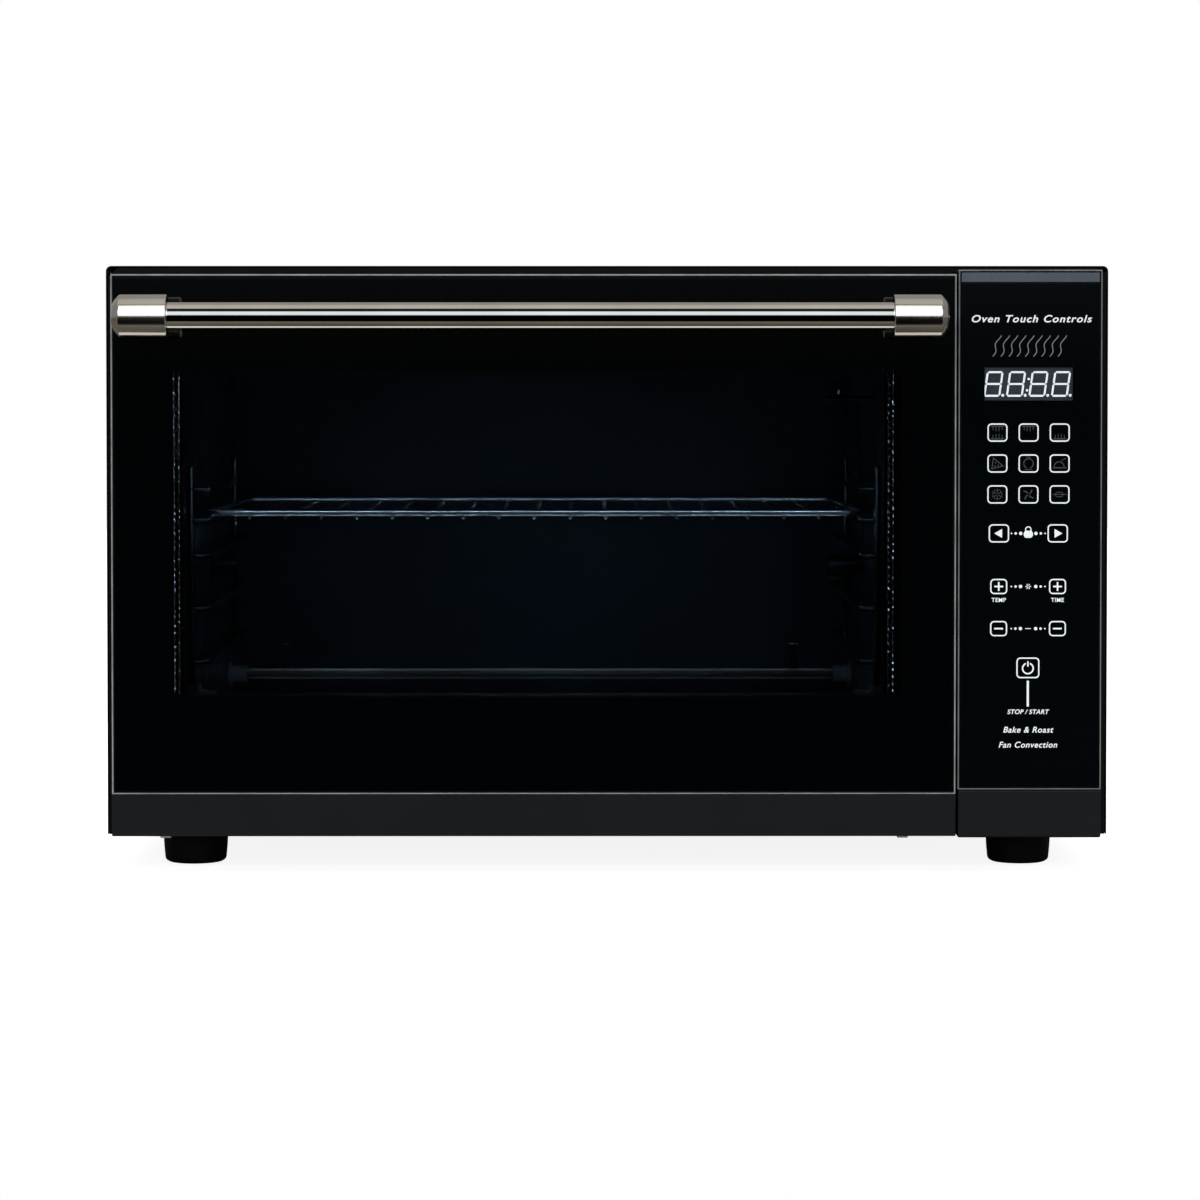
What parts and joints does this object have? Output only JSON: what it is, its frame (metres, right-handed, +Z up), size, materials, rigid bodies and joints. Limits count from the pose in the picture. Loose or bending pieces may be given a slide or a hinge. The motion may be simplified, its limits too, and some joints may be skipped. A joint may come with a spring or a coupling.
{
  "type": "toaster oven",
  "caption": "Countertop convection oven with a drop-down glass door, bar handle, wire rack, side touch panel, fan and heaters.",
  "frame": {"origin": "on the worktop, under the centre of the oven's bounding box", "axes": "+X across the front from the door to the touch panel, +Y from the door to the back, +Z up"},
  "size_m": [0.572, 0.4588, 0.344],
  "materials": {
    "black_enamel": "Black enamel on sheet steel, semi-gloss.",
    "satin_black": "Satin black paint with a faint grey cast.",
    "black_glass": "Glossy black-printed tempered glass, clear in the door's window.",
    "clear_glass": "Clear heat-resistant glass.",
    "polished_steel": "Polished, mirror-like.",
    "dark_aluminium": "Satin dark grey anodised.",
    "galvanised_steel": "Plain galvanised sheet, dull.",
    "grey_enamel": "Dark grey speckled oven enamel.",
    "chrome_wire": "Bright plated wire.",
    "heater_sheath": "Heat-tinted steel sheath with ceramic end bushes.",
    "rubber": "Matte black.",
    "glass_fibre": "Braided glass fibre.",
    "circuit_board": "Green laminate with fitted parts.",
    "display": "Dark grey filter with white lit digits.",
    "motor_steel": "Bare machined and stamped steel.",
    "ceramic": "Unglazed white ceramic."
  },
  "bodies": {
    "cabinet": {"outer_cover": "black_enamel", "rear_cover": "black_enamel", "front_frame": "black_enamel", "control_housing": "satin_black", "panel_rail": "satin_black", "rear_left_spacer": "satin_black", "rear_right_spacer": "satin_black", "touch_glass": "black_glass", "lamp_lens": "clear_glass", "lamp_bulb": "clear_glass", "temperature_probe": "polished_steel", "panel_strip": "dark_aluminium", "base_pan": "galvanised_steel", "left_hinge_bracket": "galvanised_steel", "right_hinge_bracket": "galvanised_steel", "crumb_tray": "galvanised_steel", "fan_housing": "galvanised_steel", "oven_liner": "grey_enamel", "fan_grille": "grey_enamel", "left_rack_guide": "chrome_wire", "right_rack_guide": "chrome_wire", "upper_front_heater": "heater_sheath", "upper_rear_heater": "heater_sheath", "lower_front_heater": "heater_sheath", "lower_rear_heater": "heater_sheath", "front_left_foot": "rubber", "front_right_foot": "rubber", "rear_left_foot": "rubber", "rear_right_foot": "rubber", "cord_gland": "rubber", "door_gasket": "glass_fibre", "control_board": "circuit_board", "power_board": "circuit_board", "display_module": "display", "fan_motor": "motor_steel", "spit_motor": "motor_steel", "spit_rest": "motor_steel", "thermal_cutout": "motor_steel", "transformer": "motor_steel", "lamp_holder": "ceramic"},
    "door": {"door_frame": "satin_black", "door_glass": "black_glass", "door_inner_panel": "galvanised_steel", "door_inner_glass": "clear_glass", "door_rail": "satin_black", "handle_bar": "polished_steel", "left_handle_cap": "polished_steel", "right_handle_cap": "polished_steel", "left_handle_screw": "polished_steel", "right_handle_screw": "polished_steel", "left_hinge_pin": "polished_steel", "right_hinge_pin": "polished_steel", "left_door_spring": "polished_steel", "right_door_spring": "polished_steel"},
    "rack": {"wire_rack": "chrome_wire"},
    "fan_rotor": {"convection_blade": "galvanised_steel", "fan_shaft": "motor_steel", "cooling_blade": "galvanised_steel"},
    "spit_drive": {"spit_coupling": "motor_steel"}
  },
  "joints": [
    {"name": "door_hinge", "type": "hinge", "parent": "cabinet", "child": "door", "pos_m": [-0.0416, -0.1666, 0.0301], "axis": [1, 0, 0], "range_deg": [0, 82], "stiffness_Nm_per_rad": 2, "springref_deg": -20.05},
    {"name": "rack_slide", "type": "slide", "parent": "cabinet", "child": "rack", "axis": [0, -1, 0], "range_m": [0, 0.16]},
    {"name": "fan_spin", "type": "hinge", "parent": "cabinet", "child": "fan_rotor", "pos_m": [0.18, 0.0874, 0.22], "axis": [1, 0, 0], "continuous": true},
    {"name": "spit_spin", "type": "hinge", "parent": "cabinet", "child": "spit_drive", "pos_m": [0.158, 0.0174, 0.1657], "axis": [1, 0, 0], "continuous": true}
  ],
  "couplings": [
    {"joint": "rack_slide", "follows": "door_hinge", "m_per_rad": 0.111}
  ]
}
